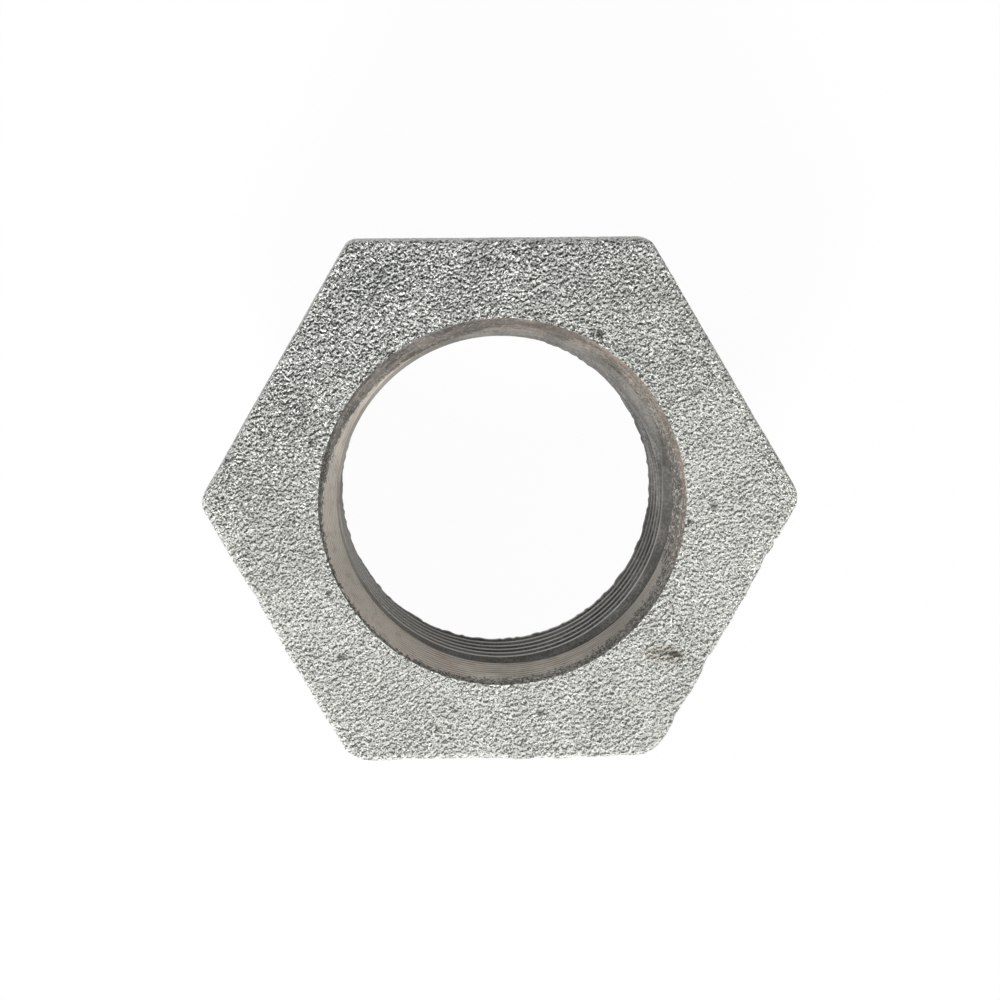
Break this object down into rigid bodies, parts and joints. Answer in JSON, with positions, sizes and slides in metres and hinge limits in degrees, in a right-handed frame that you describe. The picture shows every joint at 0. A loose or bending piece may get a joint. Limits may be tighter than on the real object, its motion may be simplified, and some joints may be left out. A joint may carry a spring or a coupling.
{
  "type": "hex bushing",
  "caption": "Reducing hex bushing: a tapered male thread on a round shank, a hexagon to turn it by, and a smaller female thread through its centre.",
  "frame": {"origin": "centre of the shank's end face, which is the lowest point as it stands with the hexagon up", "axes": "+Z runs along the bore from the shank's end out of the hexagon's face, +X points at a corner of the hexagon and +Y at one of its flats"},
  "size_m": [0.0725, 0.0634, 0.031],
  "materials": {
    "galvanised_iron": "hot-dip galvanised rough casting, bare machined iron on the threads"
  },
  "bodies": {
    "root": {"hex_bushing": "galvanised_iron"}
  },
  "joints": []
}
